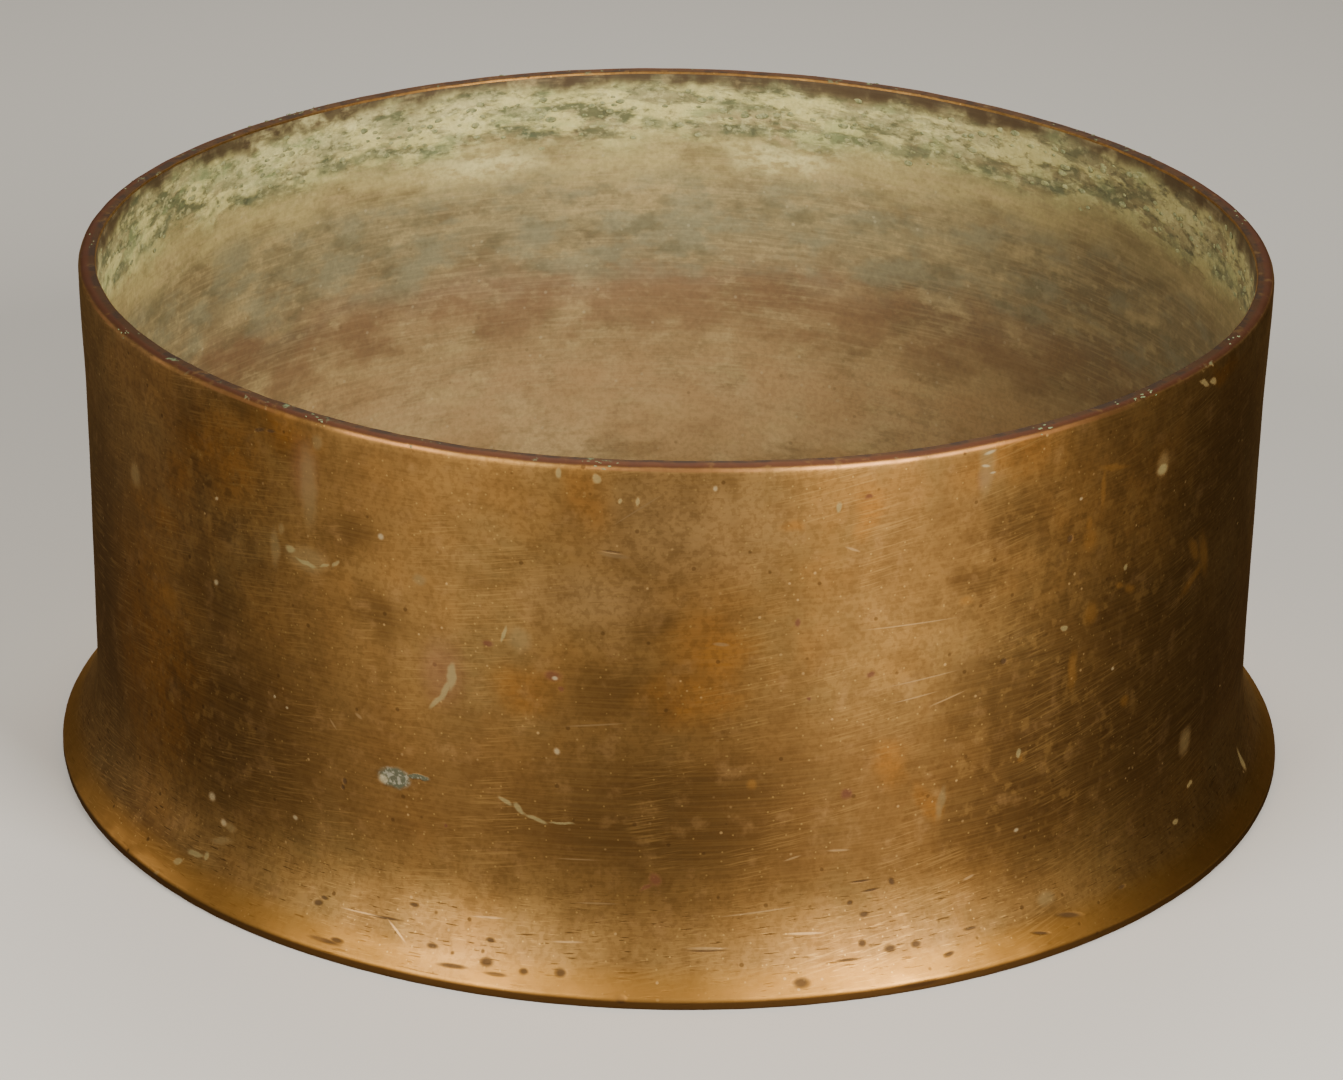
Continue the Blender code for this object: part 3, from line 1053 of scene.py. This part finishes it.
def verdigris_lined_brass():
    """The inside, where water stood: golden tan below, a plum tide mark, grey-green tarnish, and
    under the rim a thick crumbling belt of pale verdigris with darker copper green in it."""
    material, tree, place, surface = started("verdigris_lined_brass", "A08358", 0.12, 0.74)
    height = add(tree, "ShaderNodeSeparateXYZ", {0: place}).outputs["Z"]
    unrolled = unrolled_wall(tree, place)
    wandering = ragged(tree, place, 34 * MM, 9 * MM)
    wandering = ragged(tree, wandering, 9 * MM, 2.5 * MM)
    tide = add(tree, "ShaderNodeSeparateXYZ", {0: wandering}).outputs["Z"]
    share = add(tree, "ShaderNodeMapRange", {"Value": tide, "From Max": HEIGHT})
    bands = add(tree, "ShaderNodeValToRGB", {0: share.outputs["Result"]})
    stops = bands.color_ramp.elements
    while len(stops) < len(INSIDE_BANDS):
        stops.new(0.5)
    for stop, (level, colour) in zip(stops, INSIDE_BANDS):
        stop.position = min(level * MM / HEIGHT, 1.0)
        stop.color = linear(colour)
    surface["colour"] = bands.outputs["Color"]

    loose = unrolled_wall(tree, ragged(tree, place, 20 * MM, 8 * MM), behind=True)
    # Dark marks, the two broad right-hand ones painted shade.
    coat(tree, surface, [spots(tree, loose, INSIDE_DARK_AND_SHADE, 0.7, 180), 0.50], "5C4A2E")

    # Everywhere: lying patches, light and dark, then a finer mottle.
    coat(tree, surface, [patches(tree, place, 30 * MM, 0.48, 0.68, 5, 2.4, 1.7), 0.52], "64502F")
    coat(tree, surface, [patches(tree, place, 24 * MM, 0.50, 0.70, 5, 2.8, 4.1), 0.45], "BCA46C")
    coat(tree, surface, [patches(tree, place, 8 * MM, 0.48, 0.68, 5, 1.8, 6.6), 0.32], "5E4C2C")
    coat(tree, surface, [patches(tree, place, 6 * MM, 0.52, 0.70, 4, 1.6, 8.3), 0.30], "C4AC74")
    wiped = strokes(tree, unrolled, 26 * MM, 1.1 * MM, 1.0, 0.46, 0.68)
    coat(tree, surface, [wiped, 0.20], "C0A874")

    # Bare rubbed metal low down, plum oxide above it, grey-green tarnish in the middle.
    low = eased_in(tree, tide, 78 * MM, 52 * MM)
    rubbed = patches(tree, place, 40 * MM, 0.40, 0.60, 4)
    coat(tree, surface, [low, rubbed, 0.5], "B08C5C", 0.45, 0.62)
    plum_top = eased_in(tree, tide, 100 * MM, 88 * MM)
    plum_foot = eased_in(tree, tide, 58 * MM, 74 * MM)
    plum = patches(tree, place, 26 * MM, 0.40, 0.60, 5, 1.6, 2.9)
    coat(tree, surface, [plum_top, plum_foot, plum, 0.58], "765636", 0.2)
    grey_foot = eased_in(tree, tide, 84 * MM, 100 * MM)
    grey_top = eased_in(tree, tide, 136 * MM, 122 * MM)
    grey = patches(tree, place, 22 * MM, 0.44, 0.62, 5, 2.0, 5.3)
    coat(tree, surface, [grey_foot, grey_top, grey, 0.55], "7E7C5E")
    olive = patches(tree, place, 16 * MM, 0.50, 0.66, 5, 2.0, 7.1)
    coat(tree, surface, [grey_foot, grey_top, olive, 0.55], "5E5638")

    # The verdigris belt: cream crust over dark green, with a dark tide line along its foot.
    crust_foot = eased_in(tree, tide, 136 * MM, 150 * MM)
    crust_top = eased_in(tree, tide, HEIGHT - 2 * MM, HEIGHT - 8 * MM)
    dark_green = patches(tree, place, 18 * MM, 0.44, 0.58, 5, 2.8, 1.9)
    coat(tree, surface, [crust_foot, crust_top, dark_green, 0.80], "4A5232", 0.0, 0.8)
    cream = patches(tree, place, 22 * MM, 0.46, 0.58, 5, 3.0, 9.9)
    coat(tree, surface, [crust_foot, crust_top, cream, 0.78], "DACE80", 0.0, 0.85, 0.25 * MM)
    mint = patches(tree, place, 26 * MM, 0.50, 0.64, 4, 2.2, 12.3)
    coat(tree, surface, [crust_foot, crust_top, mint, 0.42], "96A468", 0.0, 0.85)
    pale = spots(tree, loose, INSIDE_PALE, 0.8, 180)
    flaking = patches(tree, place, 9 * MM, 0.40, 0.56, 5, 2.4, 23.0)
    coat(tree, surface, [pale, flaking, 0.66], "E0D490")
    line_foot = eased_in(tree, tide, 143.5 * MM, 146 * MM)
    line_top = eased_in(tree, tide, 150.5 * MM, 148 * MM)
    broken = patches(tree, place, 16 * MM, 0.42, 0.56, 4, 1.0, 13.7)
    coat(tree, surface, [line_foot, line_top, broken, 0.65], "4E5A3E", 0.0, 0.8)
    crumbs = patches(tree, place, 3.6 * MM, 0.50, 0.66, 4, 1.6, 15.1)
    coat(tree, surface, [crust_foot, crust_top, crumbs, 0.36], "E6DC98", rise=0.12 * MM)
    holes = patches(tree, place, 5 * MM, 0.56, 0.68, 4, 1.8, 17.2)
    coat(tree, surface, [crust_foot, crust_top, holes, 0.60], "40442A", rise=-0.12 * MM)
    coat(tree, surface, [specks(tree, place, 7 * MM, 0.8 * MM, 0.2), 0.16], "D8CCA0")
    coat(tree, surface, [specks(tree, place, 8 * MM, 0.9 * MM, 0.6), 0.26], "4C3C24")
    # The right-hand side is painted browner all the way up: painted shade where the lamps light it
    # less.
    across = add(tree, "ShaderNodeSeparateXYZ", {0: wandering}).outputs["X"]
    coat(tree, surface, [eased_in(tree, across, 20 * MM, 175 * MM), 0.46], "54472C")
    grain = patches(tree, place, 1.6 * MM, 0.42, 0.62, 2, 1.0, 18.8)
    coat(tree, surface, [grain, 0.16], "4C3E28", rise=-0.02 * MM)

    # The last few millimetres under the rim are bare and brown.
    lip = eased_in(tree, tide, HEIGHT - 8 * MM, HEIGHT - 2.5 * MM)
    lip_worn = patches(tree, place, 14 * MM, 0.36, 0.54, 4, 1.0, 21.0)
    coat(tree, surface, [lip, lip_worn, 0.85], "4E3C26", 0.5, 0.65)
    joined(tree, surface)
    return material


def limed_brass_floor():
    """The floor plate: planished brass under a film of lime and dust, with rings where it dried."""
    material, tree, place, surface = started("limed_brass_floor", "A5865C", 0.35, 0.66)
    bare = patches(tree, place, 60 * MM, 0.40, 0.64, 5)
    coat(tree, surface, [bare, 0.6], "87683F", 0.5, 0.58)
    lime = patches(tree, place, 26 * MM, 0.48, 0.66, 5, shift=2.0)
    coat(tree, surface, [lime, 0.5], "BCA478", 0.1, 0.78)
    brown = patches(tree, place, 12 * MM, 0.50, 0.66, 5, shift=4.0)
    coat(tree, surface, [brown, 0.4], "6C5432")
    wandering = ragged(tree, ragged(tree, place, 70 * MM, 24 * MM), 14 * MM, 4 * MM)
    rings = add(tree, "ShaderNodeVectorMath", {0: wandering}, operation="LENGTH")
    for reach, shift in ((104 * MM, 31.0), (146 * MM, 37.0)):
        inner_edge = eased_in(tree, rings.outputs["Value"], reach - 9 * MM, reach)
        outer_edge = eased_in(tree, rings.outputs["Value"], reach + 2 * MM, reach)
        broken = patches(tree, place, 36 * MM, 0.46, 0.64, 4, shift=shift)
        coat(tree, surface, [inner_edge, outer_edge, broken, 0.42], "C4B48C", 0.05, 0.82)
    corner = eased_in(tree, rings.outputs["Value"], 150 * MM, 182 * MM)
    green = patches(tree, place, 9 * MM, 0.40, 0.60, 5, shift=6.0)
    coat(tree, surface, [corner, green, 0.7], "8C9474", 0.0, 0.85)
    coat(tree, surface, [specks(tree, place, 9 * MM, 1.0 * MM), 0.5], "4E4028")
    grain = patches(tree, place, 1.8 * MM, 0.45, 0.62, 2, shift=8.0)
    coat(tree, surface, [grain, 0.22], "584528", rise=-0.02 * MM)
    joined(tree, surface)
    return material


def spelter_braze():
    """Hard solder run into the corner: yellower than the plate, lumpy, green in its pores."""
    material, tree, place, surface = started("spelter_braze", "B4985C", 0.75, 0.50)
    dull = patches(tree, place, 14 * MM, 0.42, 0.64, 4)
    coat(tree, surface, [dull, 0.6], "8C7040", 0.5, 0.62)
    green = patches(tree, place, 7 * MM, 0.52, 0.66, 5, shift=2.0)
    coat(tree, surface, [green, 0.7], "92A07C", 0.0, 0.85, 0.08 * MM)
    pores = specks(tree, place, 4 * MM, 0.7 * MM)
    coat(tree, surface, [pores, 0.7], "4A3E24", 0.3, 0.7, -0.08 * MM)
    grain = patches(tree, place, 1.5 * MM, 0.45, 0.62, 2, shift=5.0)
    coat(tree, surface, [grain, 0.25], "5C4A28", rise=-0.02 * MM)
    joined(tree, surface)
    return material


def rim_verdigris():
    """Copper carbonate that has grown in crumbs on the rim: matt, pale green to sage."""
    material, tree, place, surface = started("rim_verdigris", "66744E", 0.0, 0.85)
    coat(tree, surface, [patches(tree, place, 6 * MM, 0.50, 0.66, 4), 0.5], "8E8E60")
    height = add(tree, "ShaderNodeSeparateXYZ", {0: place}).outputs["Z"]
    sheltered = eased_in(tree, height, HEIGHT - 2 * MM, HEIGHT - 4 * MM)
    coat(tree, surface, [sheltered, 0.75], "98925E")
    coat(tree, surface, [patches(tree, place, 3 * MM, 0.46, 0.62, 4, shift=3.0), 0.6], "4C5838")
    powder = patches(tree, place, 1.0 * MM, 0.45, 0.60, 3, shift=6.0)
    coat(tree, surface, [powder, 0.25], "B8B488", rise=0.05 * MM)
    joined(tree, surface)
    return material


# ---------------------------------------------------------------- the vessel

wall = finished(
    "wall_shell", wall_shape(), [rubbed_brass_outside(), verdigris_lined_brass()]
)
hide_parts("side_wall")
floor_disc = finished("floor_disc", floor_shape(), [limed_brass_floor()])
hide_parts("floor_plate")
braze = finished("braze_bead", braze_shape(), [spelter_braze()])
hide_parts("floor_braze")
finished("verdigris_crumbs", crumb_shape(), [rim_verdigris()])


# ---------------------------------------------------------------- floor, light and camera

PAPER_SIDE = 12.0
ROOM_STRENGTH = 0.06
LAMP_COLOUR = (1.0, 0.97, 0.92)
SENSOR_WIDTH = 36.0  # this and the lens are in millimetres of film
LENS_LENGTH = 121.16
FARTHEST_SEEN = 50.0
CAMERA_PLACE = (-0.0002, -1.3763, 0.6513)
LOOKS_DOWN = 0.4027  # radians, like the lean
LEANS_LEFT = 0.0156


def studio():
    """A sheet of pale paper, a dim room and four soft lamps."""
    bpy.ops.mesh.primitive_plane_add(size=PAPER_SIDE)
    ground = bpy.context.object
    ground.name = "studio_floor"
    ground.location.z = CAD_LOW.z
    material, tree, _, surface = started("pale_paper", "D2CEC6", 0.0, 0.9)
    joined(tree, surface)
    ground.data.materials.append(material)
    ground.visible_glossy = False

    world = bpy.data.worlds.new("soft_room")
    bpy.context.scene.world = world
    world.use_nodes = True
    backdrop = world.node_tree.nodes["Background"]
    backdrop.inputs["Color"].default_value = linear("8E8A86")
    backdrop.inputs["Strength"].default_value = ROOM_STRENGTH

    lamps = (
        # name, degrees round, degrees up, distance, size, watts
        ("right_softbox", 38, 27, 1.4, 0.55, 28.5),
        ("left_softbox", -40, 28, 1.4, 0.80, 19.5),
        ("left_fill", -105, 10, 1.5, 0.50, 2.2),
        ("back_softbox", 180, 55, 1.6, 0.90, 12.0),
    )
    aim = Vector((0, 0, 0.5 * HEIGHT))
    for name, azimuth, up, distance, size, power in lamps:
        lamp = bpy.data.lights.new(name, "AREA")
        lamp.shape = "SQUARE"
        lamp.size = size
        lamp.energy = power
        lamp.color = LAMP_COLOUR
        a, e = math.radians(azimuth), math.radians(up)
        back = Vector((math.sin(a) * math.cos(e), -math.cos(a) * math.cos(e), math.sin(e)))
        holder = bpy.data.objects.new(name, lamp)
        holder.location = aim + back * distance
        holder.rotation_euler = (-back).to_track_quat("-Z", "Y").to_euler()
        bpy.context.scene.collection.objects.link(holder)


def camera():
    """A long lens in front of the vessel, looking down a little and leaning a little left."""
    lens = bpy.data.cameras.new("view")
    lens.sensor_width = SENSOR_WIDTH
    lens.lens = LENS_LENGTH
    lens.clip_end = FARTHEST_SEEN
    stand = bpy.data.objects.new("view", lens)
    place = Matrix.Translation(CAMERA_PLACE)
    tilt = Matrix.Rotation(math.radians(90) - LOOKS_DOWN, 4, "X")
    lean = Matrix.Rotation(LEANS_LEFT, 4, "Z")
    stand.matrix_world = place @ tilt @ lean
    bpy.context.scene.collection.objects.link(stand)
    bpy.context.scene.camera = stand


studio()
camera()
